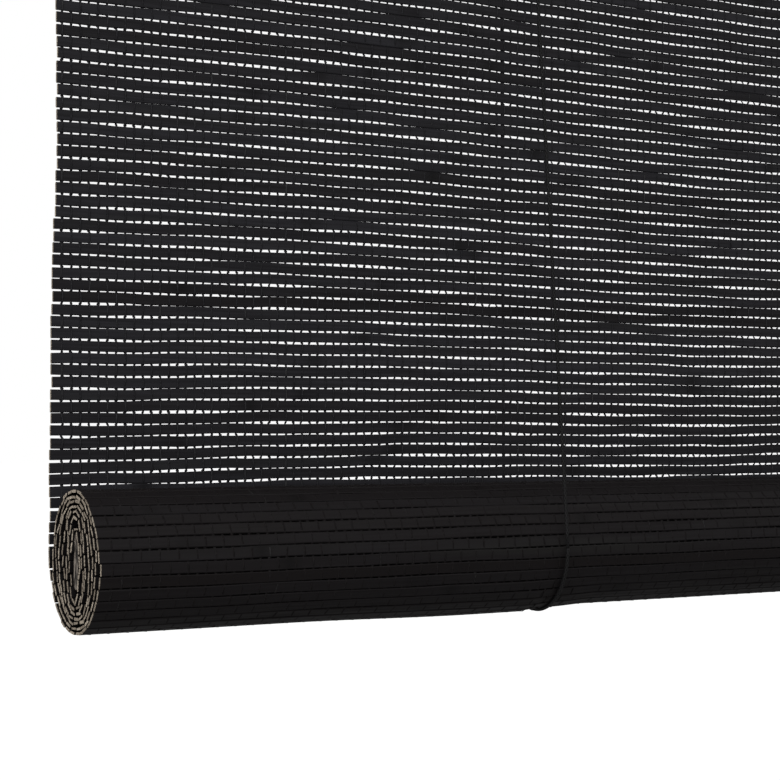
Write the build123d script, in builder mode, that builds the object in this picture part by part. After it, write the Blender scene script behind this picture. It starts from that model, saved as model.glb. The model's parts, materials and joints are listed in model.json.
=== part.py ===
"""Bamboo roll up blind, held part way up by its two lift cords.

The blind's width lies along X, the room is towards -Y and up is +Z. The origin is the middle of the two
fixing holes, on the back face of the headrail. Sizes are in millimetres.
"""

import os
from math import cos, hypot, pi, sin

from build123d import *

os.makedirs("parts", exist_ok=True)

# Headrail: a back batten that is screwed to the wall and a front strip that clamps the mat against it
blind_width = 1000.0
batten_height = 45.0
batten_thickness = 15.0
batten_above_holes = 10.0
strip_height = 25.0
strip_thickness = 15.0
rebate_height = 15.0
edge_round = 1.5
hole_inset = 50.0
hole_diameter = 5.0
hole_head_diameter = 10.0
hole_head_depth = 4.0

# Woven mat: flat slats, one above the other, held by warp threads
slat_height = 4.7
slat_gap = 0.8
mat_thickness = 1.8
web_thickness = 0.5
slat_chamfer = 0.35
selvedge_width = 8.0

# Roll: the lower part of the mat, wound loosely, so that its inner turns are tall ovals
outer_turn_radius = 31.1
turn_spacing = 2.4
core_half_height = 20.3
core_half_depth = 5.45
swell_share = 0.074
bottom_rail_height = 24.0
bottom_rail_thickness = 4.8
bottom_rail_gap = 0.6
bottom_rail_short = 1.5
roll_below_pulleys = 480.0

# Clearances
running_gap = 0.3
bore_gap = 0.1
seat_gap = 0.05

# Lift cords: the stations are where each cord goes round the mat
cord_diameter = 1.7
front_station_inset = 240.0
station_slant = 7.5

# Pulleys: stamped brackets with turned wheels
wheel_radius = 7.0
wheel_width = 5.0
wheel_rim = 0.5
groove_radius = 5.2
groove_floor = 1.4
pin_radius = 1.1
pin_head_radius = 2.2
pin_head_height = 0.7
sheet_thickness = 1.0
bracket_half_width = 8.5
bracket_ear = 7.5
bracket_ear_height = 12.0
hood_clearance = 2.0

# Cord lock: a grooved roller and a toothed pawl in a longer bracket
lock_inset = 45.0
pawl_pivot_x = 16.0
pawl_pivot_z = 5.0
pawl_hub_radius = 3.2
pawl_face_height = 6.0
pawl_tooth_depth = 0.7
pawl_teeth = 4
pawl_tab_reach = 11.0
pawl_tab_drop = 20.5
pawl_tab_thickness = 4.0
pawl_tab_width = 7.0
cord_exit_below_pulleys = 13.5

# Screws
screw_radius = 1.2
screw_head_radius = 2.5
screw_head_height = 1.5
screw_length = 11.0
clamp_screw_length = 28.0
clamp_screw_head_radius = 3.0
clamp_screw_head_depth = 1.8
clamp_screw_inset = 80.0
clamp_screw_count = 5

# Screw eyes that the cords are tied to, behind the mat
eye_ring_radius = 3.2
eye_wire_radius = 0.8
eye_shank_length = 14.0
eye_collar = 0.5
eye_in_front_of_wall = 10.0
cord_loop_radius = 2.0
knot_radius = 2.1
knot_below_ring = 3.3

# Put-away pull cords: a tied coil that hangs from the cord lock, and a turned wooden pull
coil_mean_radius = 12.5
coil_section = 11.0
coil_round = 3.0
coil_below_exit = 17.0
coil_side_step = 6.0
tie_width = 4.0
tie_thickness = 1.6
pull_height = 24.0
pull_radius = 7.0
pull_neck_radius = 3.6
pull_bore_radius = 2.1
pull_cord_depth = 8.0
pull_cord_spacing = 1.9
pull_arch_radius = 5.3
pull_arch_lead = 2.0
pull_arch_drop = 4.0

# Places that follow from the sizes
cord_radius = cord_diameter / 2
half_width = blind_width / 2
half_mat = mat_thickness / 2
slat_pitch = slat_height + slat_gap
hole_spacing = blind_width - 2 * hole_inset
clamp_screw_spacing = (blind_width - 2 * clamp_screw_inset) / (clamp_screw_count - 1)
mat_y = -batten_thickness - half_mat
strip_face_y = mat_y - half_mat - strip_thickness
rail_top_z = batten_above_holes
rail_bottom_z = rail_top_z - batten_height
strip_top_z = rail_bottom_z + strip_height
rebate_top_z = rail_bottom_z + rebate_height
pulley_z = rail_bottom_z + strip_height / 2
roll_y = mat_y - outer_turn_radius
roll_z = pulley_z - roll_below_pulleys
turns = round((outer_turn_radius - core_half_height) / turn_spacing + 1 / 2)
turn_pitch_high = (outer_turn_radius - core_half_height) / (turns - 1 / 2)
turn_pitch_deep = (outer_turn_radius - core_half_depth) / (turns - 1 / 4)
core_back = outer_turn_radius - turn_pitch_deep * turns
bottom_rail_y = roll_y + core_back - half_mat - bottom_rail_gap - bottom_rail_thickness / 2
roll_radius = outer_turn_radius + half_mat + swell_share * turn_pitch_deep
sling_radius = roll_radius + running_gap + cord_radius
cord_path_radius = groove_radius + running_gap + cord_radius
rear_row_y = strip_face_y - sheet_thickness - running_gap - wheel_width / 2
front_row_y = rear_row_y - wheel_width - running_gap
hood_z = pulley_z + cord_path_radius + cord_radius + hood_clearance
lock_x = half_width - lock_inset
cord_exit_x = lock_x + cord_path_radius
cord_exit_z = pulley_z - cord_exit_below_pulleys
eye_y = -eye_in_front_of_wall
eye_z = rail_bottom_z - eye_collar - eye_ring_radius - eye_wire_radius
knot_z = eye_z - eye_ring_radius - knot_below_ring
knot_floor_z = knot_z - 0.85 * knot_radius
coil_outer_radius = coil_mean_radius + coil_section / 2
coil_x = cord_exit_x - coil_side_step
coil_y = (rear_row_y + front_row_y) / 2
coil_z = cord_exit_z - coil_below_exit - coil_outer_radius

# Each station: where the front run stands, where the back run stands, and its row of the pulleys
left_front_x = front_station_inset - half_width
left_back_x = left_front_x + station_slant
right_back_x = -left_front_x
right_front_x = right_back_x - station_slant
stations = {
    "left": (left_front_x, left_back_x, rear_row_y),
    "right": (right_front_x, right_back_x, front_row_y),
}


def save(part, name):
    """Labels a finished piece and writes its file."""
    part.label = name
    export_step(part, f"parts/{name}.step")


def headrail_back():
    """The back batten, with two counterbored fixing holes above the strip."""
    with BuildPart() as rail:
        with BuildSketch(Plane.YZ.offset(-half_width)) as section:
            with Locations((-batten_thickness / 2, (rail_top_z + rail_bottom_z) / 2)):
                Rectangle(batten_thickness, batten_height)
        extrude(amount=blind_width)
        top_edges = rail.edges().filter_by(Axis.X).group_by(Axis.Z)[-1]
        fillet(top_edges, edge_round)
        with Locations(Plane.XZ.offset(batten_thickness)):
            with GridLocations(hole_spacing, 0, 2, 1):
                CounterBoreHole(hole_diameter / 2, hole_head_diameter / 2, hole_head_depth)
        with Locations(Plane.XZ.offset(batten_thickness)):
            with Locations((0, (strip_top_z + rebate_top_z) / 2)):
                with GridLocations(clamp_screw_spacing, 0, clamp_screw_count, 1):
                    Hole(screw_radius + seat_gap, clamp_screw_length)
        for front_x, back_x, row_y in stations.values():
            with Locations(Plane.XY.offset(rail_bottom_z)):
                with Locations((back_x, eye_y)):
                    Cylinder(
                        eye_wire_radius + seat_gap,
                        eye_shank_length + seat_gap,
                        align=(Align.CENTER, Align.CENTER, Align.MIN),
                        mode=Mode.SUBTRACT,
                    )
    return rail.part


def headrail_front():
    """The front strip, rebated behind for the mat's top edge, with screw holes."""
    with BuildPart() as strip:
        with BuildSketch(Plane.YZ.offset(-half_width)) as section:
            with BuildLine() as outline:
                Polyline(
                    (strip_face_y, rail_bottom_z),
                    (mat_y - half_mat, rail_bottom_z),
                    (mat_y - half_mat, rebate_top_z),
                    (mat_y + half_mat, rebate_top_z),
                    (mat_y + half_mat, strip_top_z),
                    (strip_face_y, strip_top_z),
                    close=True,
                )
            make_face()
        extrude(amount=blind_width)
        fillet(strip.edges().filter_by(Axis.X).group_by(Axis.Y)[0], edge_round)
        with Locations(Plane.XZ.offset(-strip_face_y)):
            with Locations((0, (strip_top_z + rebate_top_z) / 2)):
                with GridLocations(clamp_screw_spacing, 0, clamp_screw_count, 1):
                    CounterSinkHole(
                        screw_radius + seat_gap,
                        clamp_screw_head_radius + seat_gap,
                        counter_sink_angle=90,
                    )
            with Locations(*[(x, pulley_z) for x in bracket_screw_places()]):
                Cylinder(
                    screw_radius + seat_gap,
                    screw_length,
                    align=(Align.CENTER, Align.CENTER, Align.MAX),
                    mode=Mode.SUBTRACT,
                )
    return strip.part


def bracket_screw_places():
    """X of each bracket's two screws: the two pulleys and the lock."""
    from_axis = bracket_half_width + bracket_ear / 2
    places = []
    for front_x, back_x, row_y in stations.values():
        axis_x = front_x + cord_path_radius
        places += [axis_x - from_axis, axis_x + from_axis]
    places += [lock_x - from_axis, lock_x + pawl_pivot_x + from_axis]
    return places


def hanging_mat():
    """The hanging mat: a thin wall with a ridge for each slat and a long gap between every two."""
    count = int((rebate_top_z - roll_z) / slat_pitch)
    first_z = roll_z + slat_gap / 2
    half_web = web_thickness / 2
    front = []
    for i in range(count):
        low = first_z + i * slat_pitch
        high = low + slat_height
        front += [
            (half_web, low),
            (half_mat, low + slat_chamfer),
            (half_mat, high - slat_chamfer),
            (half_web, high),
        ]
    right = [(mat_y + across, z) for across, z in front]
    left = [(mat_y - across, z) for across, z in reversed(front)]
    with BuildPart() as mat:
        with BuildSketch(Plane.YZ.offset(-half_width)) as section:
            with BuildLine() as outline:
                Polyline(*right, *left, close=True)
            make_face()
        extrude(amount=blind_width)
        middle_gap_z = first_z + slat_height + slat_gap / 2 + (count - 2) * slat_pitch / 2
        with BuildSketch(Plane.XZ.offset(-mat_y)) as gaps:
            with Locations((0, middle_gap_z)):
                with GridLocations(0, slat_pitch, 1, count - 1):
                    Rectangle(blind_width - 2 * selvedge_width, slat_gap)
        extrude(amount=half_mat, both=True, mode=Mode.SUBTRACT)
    return mat.part


def spiral_point(angle):
    """Y and Z of the wound mat's middle at an angle from the back of the roll, down and round its front.

    Each turn is an oval inside the one before, and loses more depth than height.
    """
    wound = angle / (2 * pi)
    deep = outer_turn_radius + turn_pitch_deep * (1 / 4 - wound)
    high = outer_turn_radius + turn_pitch_high * (1 / 2 - wound)
    y = roll_y - turn_pitch_deep / 4 + deep * cos(angle)
    z = roll_z + turn_pitch_high / 4 - high * sin(angle)
    return y, z


def spiral_offset(angle, distance):
    """Y and Z at a distance outside the wound mat's middle, and the spiral's speed there per radian."""
    step = 0.001
    y, z = spiral_point(angle)
    before = spiral_point(angle - step)
    after = spiral_point(angle + step)
    along_y, along_z = after[0] - before[0], after[1] - before[1]
    speed = hypot(along_y, along_z)
    return y - distance * along_z / speed, z + distance * along_y / speed, speed / (2 * step)


def mat_roll():
    """The wound mat: one spiral band with a ridge for each slat, cut off square at both ends."""
    half_flat = slat_height / 2 - slat_chamfer
    angle = (slat_pitch / 2 + turn_pitch_high / 4) / outer_turn_radius
    outer = []
    inner = [(mat_y - half_mat, roll_z - slat_gap / 2)]
    while angle < 2 * pi * turns:
        speed = spiral_offset(angle, 0)[2]
        flat = half_flat / speed
        notch = angle + slat_pitch / 2 / speed
        outer.append(spiral_offset(angle - flat, half_mat)[:2])
        outer.append(spiral_offset(angle + flat, half_mat)[:2])
        outer.append(spiral_offset(notch, web_thickness / 2)[:2])
        inner.append(spiral_offset(angle, -half_mat)[:2])
        inner.append(spiral_offset(notch, -half_mat)[:2])
        angle += slat_pitch / speed
    print("rolled slats:", len(outer) // 3)
    with BuildPart() as roll:
        with BuildSketch(Plane.YZ.offset(-half_width)) as section:
            with BuildLine() as outline:
                Polyline(*outer[:-1], *reversed(inner), close=True)
            make_face()
        extrude(amount=blind_width)
    return roll.part


def bottom_rail():
    """The flat rail with round edges at the mat's lower end: inside the innermost turn and a little shorter."""
    edge_radius = bottom_rail_thickness / 2 - seat_gap
    with BuildPart() as rail:
        with BuildSketch(Plane.YZ.offset(bottom_rail_short - half_width)) as section:
            with Locations((bottom_rail_y, roll_z)):
                RectangleRounded(bottom_rail_thickness, bottom_rail_height, edge_radius)
        extrude(amount=blind_width - 2 * bottom_rail_short)
    return rail.part


def wheel(axis_x, row_y, rows):
    """A wheel or roller with one V groove for each row of cord, turned about its pin."""
    pitch = wheel_width + running_gap
    half_floor = groove_floor / 2
    half_open = wheel_width / 2 - wheel_rim
    rim = []
    for i in range(rows):
        centre = -i * pitch
        rim += [
            (wheel_radius, centre + half_open),
            (groove_radius, centre + half_floor),
            (groove_radius, centre - half_floor),
            (wheel_radius, centre - half_open),
        ]
    back = wheel_width / 2
    front = -(rows - 1) * pitch - wheel_width / 2
    bore = pin_radius + bore_gap
    with BuildPart() as turned:
        with BuildSketch(Plane((axis_x, row_y, pulley_z))) as section:
            with BuildLine() as outline:
                Polyline(
                    (bore, back),
                    (wheel_radius, back),
                    *rim,
                    (wheel_radius, front),
                    (bore, front),
                    close=True,
                )
            make_face()
        revolve(axis=Axis((axis_x, row_y, pulley_z), (0, 1, 0)))
    return turned.part


def bracket(axis_x, rows, pins, cheek_right):
    """A stamped bracket: a back plate with two ears, a hood over the cords and a front cheek.

    pins are the places of the pins in the bracket, measured from the wheel's axis.
    """
    inside = rows * (wheel_width + running_gap) + running_gap
    depth = inside + 2 * sheet_thickness
    top = hood_z + sheet_thickness
    low = pulley_z - bracket_half_width
    cheek_width = bracket_half_width + cheek_right
    cheek_middle = axis_x + (cheek_right - bracket_half_width) / 2
    with BuildPart() as frame:
        with BuildSketch(Plane.XZ.offset(-strip_face_y)) as outline:
            with Locations((cheek_middle, (top + low) / 2)):
                RectangleRounded(cheek_width, top - low, bracket_half_width / 2)
            with Locations((cheek_middle, top - bracket_half_width / 2)):
                Rectangle(cheek_width, bracket_half_width)
        extrude(amount=depth)
        with BuildSketch(Plane.XZ.offset(-strip_face_y + sheet_thickness)) as hollow:
            with Locations((cheek_middle, (hood_z + low) / 2)):
                Rectangle(cheek_width, hood_z - low)
        extrude(amount=inside, mode=Mode.SUBTRACT)
        with BuildSketch(Plane.XZ.offset(-strip_face_y)) as ears:
            with Locations((cheek_middle, pulley_z)):
                RectangleRounded(cheek_width + 2 * bracket_ear, bracket_ear_height, bracket_ear / 2)
        extrude(amount=sheet_thickness)
        with BuildSketch(Plane.XZ.offset(-strip_face_y)) as holes:
            with Locations(*[(axis_x + x, pulley_z + z) for x, z in pins]):
                Circle(pin_radius + seat_gap)
            with Locations((cheek_middle, pulley_z)):
                with GridLocations(cheek_width + bracket_ear, 0, 2, 1):
                    Circle(screw_radius + seat_gap)
        extrude(amount=depth, mode=Mode.SUBTRACT)
    return frame.part


def bracket_pin(x, z, rows):
    """A riveted pin, flush behind and headed in front of the cheek."""
    depth = rows * (wheel_width + running_gap) + running_gap + 2 * sheet_thickness
    with BuildPart() as pin:
        with BuildSketch(Plane.XZ.offset(-strip_face_y)) as shaft:
            with Locations((x, z)):
                Circle(pin_radius)
        extrude(amount=depth)
        with BuildSketch(Plane.XZ.offset(-strip_face_y + depth)) as head:
            with Locations((x, z)):
                Circle(pin_head_radius)
        extrude(amount=pin_head_height)
        chamfer(pin.edges().group_by(Axis.Y)[0], pin_head_height / 2)
    return pin.part


def lock_pawl():
    """The pawl: a hub, a toothed face that bears on both cords, and a finger tab whose weight shuts it."""
    pivot_x = lock_x + pawl_pivot_x
    pivot_z = pulley_z + pawl_pivot_z
    face_x = cord_exit_x + cord_radius + running_gap
    face_top = pulley_z + pawl_face_height / 6
    face_bottom = face_top - pawl_face_height
    tooth = pawl_face_height / pawl_teeth
    teeth = []
    for i in range(pawl_teeth):
        low = face_bottom + i * tooth
        teeth += [(face_x + pawl_tooth_depth, low), (face_x, low + tooth)]
    tip_x = pivot_x + pawl_tab_reach
    tip_z = pivot_z - pawl_tab_drop
    half_pawl = (wheel_width + running_gap + wheel_width) / 2
    middle = -(rear_row_y + front_row_y) / 2
    with BuildPart() as pawl:
        with BuildSketch(Plane.XZ.offset(middle)) as jaw:
            with BuildLine() as outline:
                Polyline(
                    *teeth,
                    (pivot_x, pivot_z + pawl_hub_radius),
                    (pivot_x + pawl_hub_radius, pivot_z - pawl_hub_radius / 2),
                    close=True,
                )
            make_face()
            with Locations((pivot_x, pivot_z)):
                Circle(pawl_hub_radius)
        extrude(amount=half_pawl, both=True)
        with BuildSketch(Plane.XZ.offset(middle + half_pawl - pawl_tab_width)) as tab:
            with BuildLine() as edge:
                Polyline(
                    (pivot_x - pawl_hub_radius / 2, pivot_z - pawl_hub_radius),
                    (pivot_x + pawl_hub_radius, pivot_z - pawl_hub_radius / 2),
                    (tip_x, tip_z),
                    (tip_x - pawl_tab_thickness, tip_z),
                    close=True,
                )
            make_face()
        extrude(amount=pawl_tab_width)
        with BuildSketch(Plane.XZ.offset(middle)) as bore:
            with Locations((pivot_x, pivot_z)):
                Circle(pin_radius + bore_gap)
        extrude(amount=half_pawl, both=True, mode=Mode.SUBTRACT)
    return pawl.part


def bracket_screws(places):
    """Pan head screws through the ears of a bracket, one solid for each place."""
    plate_y = strip_face_y - sheet_thickness
    with BuildPart() as screws:
        for x in places:
            with BuildSketch(Plane((x, plate_y, pulley_z))) as section:
                with BuildLine() as outline:
                    Polyline(
                        (0, -screw_head_height),
                        (screw_head_radius * 0.7, -screw_head_height),
                        (screw_head_radius, -screw_head_height * 0.4),
                        (screw_head_radius, 0),
                        (screw_radius, 0),
                        (screw_radius, screw_length - 3 * screw_radius),
                        (0, screw_length),
                        close=True,
                    )
                make_face()
            revolve(axis=Axis((x, plate_y, pulley_z), (0, 1, 0)))
    return screws.part


def clamp_screws():
    """Countersunk screws that pull the strip and the mat against the batten."""
    z = (strip_top_z + rebate_top_z) / 2
    first_x = -(clamp_screw_count - 1) * clamp_screw_spacing / 2
    with BuildPart() as screws:
        for i in range(clamp_screw_count):
            x = first_x + i * clamp_screw_spacing
            with BuildSketch(Plane((x, strip_face_y, z))) as section:
                with BuildLine() as outline:
                    Polyline(
                        (0, 0),
                        (clamp_screw_head_radius, 0),
                        (screw_radius, clamp_screw_head_depth),
                        (screw_radius, clamp_screw_length - 3 * screw_radius),
                        (0, clamp_screw_length),
                        close=True,
                    )
                make_face()
            revolve(axis=Axis((x, strip_face_y, z), (0, 1, 0)))
    return screws.part


def screw_eye(x):
    """A screw eye in the underside of the batten: a ring of wire, a collar and its shank."""
    with BuildPart() as eye:
        with BuildSketch(Plane((x + eye_ring_radius, eye_y, eye_z))) as wire:
            Circle(eye_wire_radius)
        revolve(axis=Axis((x, eye_y, eye_z), (0, 1, 0)))
        with BuildSketch(Plane.XY.offset(eye_z + eye_ring_radius)) as shank:
            with Locations((x, eye_y)):
                Circle(eye_wire_radius)
        extrude(amount=eye_collar + eye_wire_radius + eye_shank_length)
        with BuildSketch(Plane.XY.offset(rail_bottom_z - eye_collar)) as collar:
            with Locations((x, eye_y)):
                Circle(eye_wire_radius * 2)
        extrude(amount=eye_collar)
    return eye.part


def cord_knot(x):
    """The cord's upper end: a loop through the screw eye and a knot under it."""
    ring_floor_z = eye_z - eye_ring_radius
    with BuildPart() as knot:
        with BuildSketch(Plane((x, eye_y - cord_loop_radius, ring_floor_z))) as strand:
            Circle(cord_radius)
        revolve(axis=Axis((x, eye_y, ring_floor_z), (1, 0, 0)))
        with Locations((x, eye_y, knot_z)):
            Sphere(knot_radius)
        split(bisect_by=Plane.XY.offset(knot_floor_z), keep=Keep.TOP)
    return knot.part


def leaning_run(x, low_y, low_z, high_y, high_z):
    """A tight straight run of cord with level ends, from its low end to its high end."""
    with BuildPart() as run:
        with BuildSketch(Plane((x, low_y, low_z))) as strand:
            Circle(cord_radius)
        length = hypot(high_y - low_y, high_z - low_z)
        extrude(amount=length, dir=(0, (high_y - low_y) / length, (high_z - low_z) / length))
    return run.part


def cord_sling(front_x, back_x):
    """The half turn of cord that carries the roll, from behind the mat, under the roll, to its front."""
    middle_x = (front_x + back_x) / 2
    with BuildPart() as sling:
        with BuildSketch(Plane((back_x, roll_y + sling_radius, roll_z))) as strand:
            Circle(cord_radius)
        revolve(
            axis=Axis((middle_x, roll_y, roll_z), (2 * sling_radius, front_x - back_x, 0)),
            revolution_arc=-180,
        )
    return sling.part


def cord_along_rail(front_x, row_y):
    """The cord over its pulley, along the headrail, over the lock's roller and down out of the lock."""
    top_z = pulley_z + cord_path_radius
    with BuildPart() as cord:
        with BuildLine(Plane.XZ.offset(-row_y)) as path:
            CenterArc((front_x + cord_path_radius, pulley_z), cord_path_radius, 180, -90)
            Line((front_x + cord_path_radius, top_z), (lock_x, top_z))
            CenterArc((lock_x, pulley_z), cord_path_radius, 90, -90)
            Line((cord_exit_x, pulley_z), (cord_exit_x, cord_exit_z))
        with BuildSketch(Plane((front_x, row_y, pulley_z))) as strand:
            Circle(cord_radius)
        sweep(path=path.wires()[0])
    return cord.part


def cord_tail(row_y):
    """The pull cord from the lock down to the put-away coil, which its lower end follows."""
    with BuildPart() as tail:
        with BuildSketch(Plane((cord_exit_x, row_y, cord_exit_z))) as strand:
            Circle(cord_radius)
        extrude(amount=-(coil_below_exit + coil_section / 2))
        with Locations(Plane.XZ.offset(-coil_y)):
            with Locations((coil_x, coil_z)):
                Cylinder(coil_outer_radius, 2 * coil_section, mode=Mode.SUBTRACT)
    return tail.part


def cord_coil():
    """The outer shape of the put-away pull cords: a tied coil that faces the room."""
    with BuildPart() as coil:
        with BuildSketch(Plane((coil_x, coil_y, coil_z))) as section:
            with Locations((coil_mean_radius, 0)):
                Rectangle(coil_section, coil_section)
            chamfer(section.vertices(), coil_round)
        revolve(axis=Axis((coil_x, coil_y, coil_z), (0, 1, 0)))
    return coil.part


def coil_tie():
    """The tie round the top of the coil."""
    inner = coil_section + 3 * running_gap
    outer = inner + 2 * tie_thickness
    with BuildPart() as tie:
        with BuildSketch(Plane.YZ.offset(coil_x - tie_width / 2)) as section:
            with Locations((coil_y, coil_z + coil_mean_radius)):
                RectangleRounded(outer, outer, coil_round)
                RectangleRounded(inner, inner, coil_round - tie_thickness, mode=Mode.SUBTRACT)
        extrude(amount=tie_width)
    return tie.part


coil_front_y = coil_y - coil_section / 2
pull_x = coil_x - coil_side_step
pull_y = coil_front_y - pull_arch_lead - pull_arch_radius
pull_root_z = coil_z + (coil_mean_radius**2 - coil_side_step**2) ** 0.5
pull_top_z = pull_root_z - pull_arch_radius - pull_arch_drop


def cord_end(x):
    """The end of a pull cord: out of the coil's front, over and down into the wooden pull."""
    with BuildPart() as end:
        with BuildLine(Plane.YZ.offset(x)) as path:
            bend_y = coil_front_y - pull_arch_lead
            Line((coil_front_y, pull_root_z), (bend_y, pull_root_z))
            CenterArc((bend_y, pull_root_z - pull_arch_radius), pull_arch_radius, 90, 90)
            Line(
                (pull_y, pull_root_z - pull_arch_radius),
                (pull_y, pull_top_z - pull_cord_depth),
            )
        with BuildSketch(Plane.XZ.offset(-coil_front_y)) as strand:
            with Locations((x, pull_root_z)):
                Circle(cord_radius)
        sweep(path=path.wires()[0])
    return end.part


def wooden_pull():
    """The turned pull: a narrow neck, a round body and a bore for the cords."""
    with BuildPart() as pull:
        with BuildSketch(Plane((pull_x, pull_y, pull_top_z), (1, 0, 0), (0, -1, 0))) as section:
            with BuildLine() as outline:
                Polyline(
                    (pull_neck_radius, 0),
                    (pull_bore_radius, 0),
                    (pull_bore_radius, -pull_height),
                    (pull_radius * 0.6, -pull_height),
                    (pull_radius * 0.9, -pull_height * 0.9),
                    (pull_radius, -pull_height * 0.72),
                    (pull_radius * 0.85, -pull_height * 0.4),
                    (pull_neck_radius, -pull_height * 0.12),
                    close=True,
                )
            make_face()
        revolve(axis=Axis((pull_x, pull_y, pull_top_z), (0, 0, 1)))
    return pull.part


save(headrail_back(), "headrail_back")
save(headrail_front(), "headrail_front")
save(clamp_screws(), "clamp_screws")
save(hanging_mat(), "hanging_mat")
save(mat_roll(), "mat_roll")
save(bottom_rail(), "bottom_rail")

left_axis_x = left_front_x + cord_path_radius
right_axis_x = right_front_x + cord_path_radius
save(bracket(left_axis_x, 1, [(0, 0)], bracket_half_width), "left_pulley_bracket")
save(wheel(left_axis_x, rear_row_y, 1), "left_pulley_wheel")
save(bracket_pin(left_axis_x, pulley_z, 1), "left_pulley_pin")
save(bracket(right_axis_x, 2, [(0, 0)], bracket_half_width), "right_pulley_bracket")
save(wheel(right_axis_x, rear_row_y, 1), "right_pulley_rear_wheel")
save(wheel(right_axis_x, front_row_y, 1), "right_pulley_front_wheel")
save(bracket_pin(right_axis_x, pulley_z, 2), "right_pulley_pin")
save(bracket_screws(bracket_screw_places()[:4]), "pulley_screws")

pawl_place = (pawl_pivot_x, pawl_pivot_z)
lock_right = pawl_pivot_x + bracket_half_width
save(bracket(lock_x, 2, [(0, 0), pawl_place], lock_right), "lock_bracket")
save(wheel(lock_x, rear_row_y, 2), "lock_roller")
save(bracket_pin(lock_x, pulley_z, 2), "lock_roller_pin")
save(lock_pawl(), "lock_pawl")
save(bracket_pin(lock_x + pawl_pivot_x, pulley_z + pawl_pivot_z, 2), "lock_pawl_pin")
save(bracket_screws(bracket_screw_places()[4:]), "lock_screws")

for side, (front_x, back_x, row_y) in stations.items():
    save(screw_eye(back_x), f"{side}_screw_eye")
    save(cord_knot(back_x), f"{side}_cord_knot")
    back_run = leaning_run(back_x, roll_y + sling_radius, roll_z + running_gap, eye_y, knot_floor_z)
    save(back_run, f"{side}_cord_back_run")
    save(cord_sling(front_x, back_x), f"{side}_cord_sling")
    front_run = leaning_run(front_x, roll_y - sling_radius, roll_z + running_gap, row_y, pulley_z)
    save(front_run, f"{side}_cord_front_run")
    save(cord_along_rail(front_x, row_y), f"{side}_cord_rail_run")
    save(cord_tail(row_y), f"{side}_cord_tail")

save(cord_coil(), "cord_coil")
save(coil_tie(), "coil_tie")
save(cord_end(pull_x - pull_cord_spacing / 2), "left_cord_end")
save(cord_end(pull_x + pull_cord_spacing / 2), "right_cord_end")
save(wooden_pull(), "wooden_pull")

rail_run = right_front_x + cord_path_radius
straight = lock_x - rail_run + cord_exit_below_pulleys
expected = pi * cord_radius**2 * (straight + pi * cord_path_radius)
print("bends:", cord_path_radius, "at the pulleys,", sling_radius, "under the roll,", pull_arch_radius)
print("right rail run volume:", cord_along_rail(right_front_x, front_row_y).volume, "section x length:", expected)
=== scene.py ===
"""Looks of the bamboo roll up blind: woven slats, the wound roll's end, cords and finishes.

Sizes are in metres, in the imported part's own frame: X along the blind, the room towards -Y, +Z up.
"""

import json
import math

import bpy
import numpy as np
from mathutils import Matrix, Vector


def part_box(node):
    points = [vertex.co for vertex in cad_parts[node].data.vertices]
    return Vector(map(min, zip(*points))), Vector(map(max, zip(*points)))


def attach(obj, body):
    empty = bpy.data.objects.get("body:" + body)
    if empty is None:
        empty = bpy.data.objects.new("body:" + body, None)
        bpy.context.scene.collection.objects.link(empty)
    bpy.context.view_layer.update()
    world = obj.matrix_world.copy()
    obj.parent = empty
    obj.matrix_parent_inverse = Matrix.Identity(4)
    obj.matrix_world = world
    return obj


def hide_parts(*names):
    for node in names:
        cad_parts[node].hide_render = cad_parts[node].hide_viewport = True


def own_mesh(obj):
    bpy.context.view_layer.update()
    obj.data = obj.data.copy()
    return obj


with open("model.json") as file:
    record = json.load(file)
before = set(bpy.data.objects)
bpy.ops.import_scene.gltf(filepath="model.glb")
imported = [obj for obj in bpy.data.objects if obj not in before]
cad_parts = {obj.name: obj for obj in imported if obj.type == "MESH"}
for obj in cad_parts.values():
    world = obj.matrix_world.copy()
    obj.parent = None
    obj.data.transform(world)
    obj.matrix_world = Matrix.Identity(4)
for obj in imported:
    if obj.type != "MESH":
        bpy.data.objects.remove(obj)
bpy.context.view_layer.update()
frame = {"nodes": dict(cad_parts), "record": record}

bl_info = {
    "name": "Bamboo Roll Up Blind",
    "version": (1, 0, 0),
    "blender": (4, 5, 0),
    "location": "3D View > Sidebar > Blind",
    "description": "Builds the woven mat, its roll and its cords around the packed part",
    "category": "Object",
}

MM = 0.001

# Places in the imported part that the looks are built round
HALF_WIDTH = 0.5
MAT_Y = -15.9 * MM
ROLL_Y = -47.0 * MM
ROLL_Z = -502.5 * MM
PULLEY_Z = -22.5 * MM
REAR_ROW_Y = -35.6 * MM
FRONT_ROW_Y = -40.9 * MM
EYE_Y = -10.0 * MM
KNOT_RING_Z = -42.7 * MM
KNOT_Z = -46.0 * MM
KNOT_FLOOR_Z = -47.785 * MM
SLING_RADIUS = 33.55 * MM
CORD_PATH_RADIUS = 6.35 * MM
LOCK_X = 455 * MM
CORD_EXIT_X = 461.35 * MM
CORD_EXIT_Z = -36.0 * MM
COIL = (455.35 * MM, -38.25 * MM, -71.0 * MM)

# X of each cord's front run, X of its back run, and Y of its row in the headrail
STATIONS = {
    "left": (-0.260, -0.2525, REAR_ROW_Y),
    "right": (0.2525, 0.260, FRONT_ROW_Y),
}

# Slats of the hanging mat, of the roll's outer turns, and of the part of the roll that has threads
SLAT_COUNT = 87
OUTER_SLATS = 42
THREADED_SLATS = 36

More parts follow.
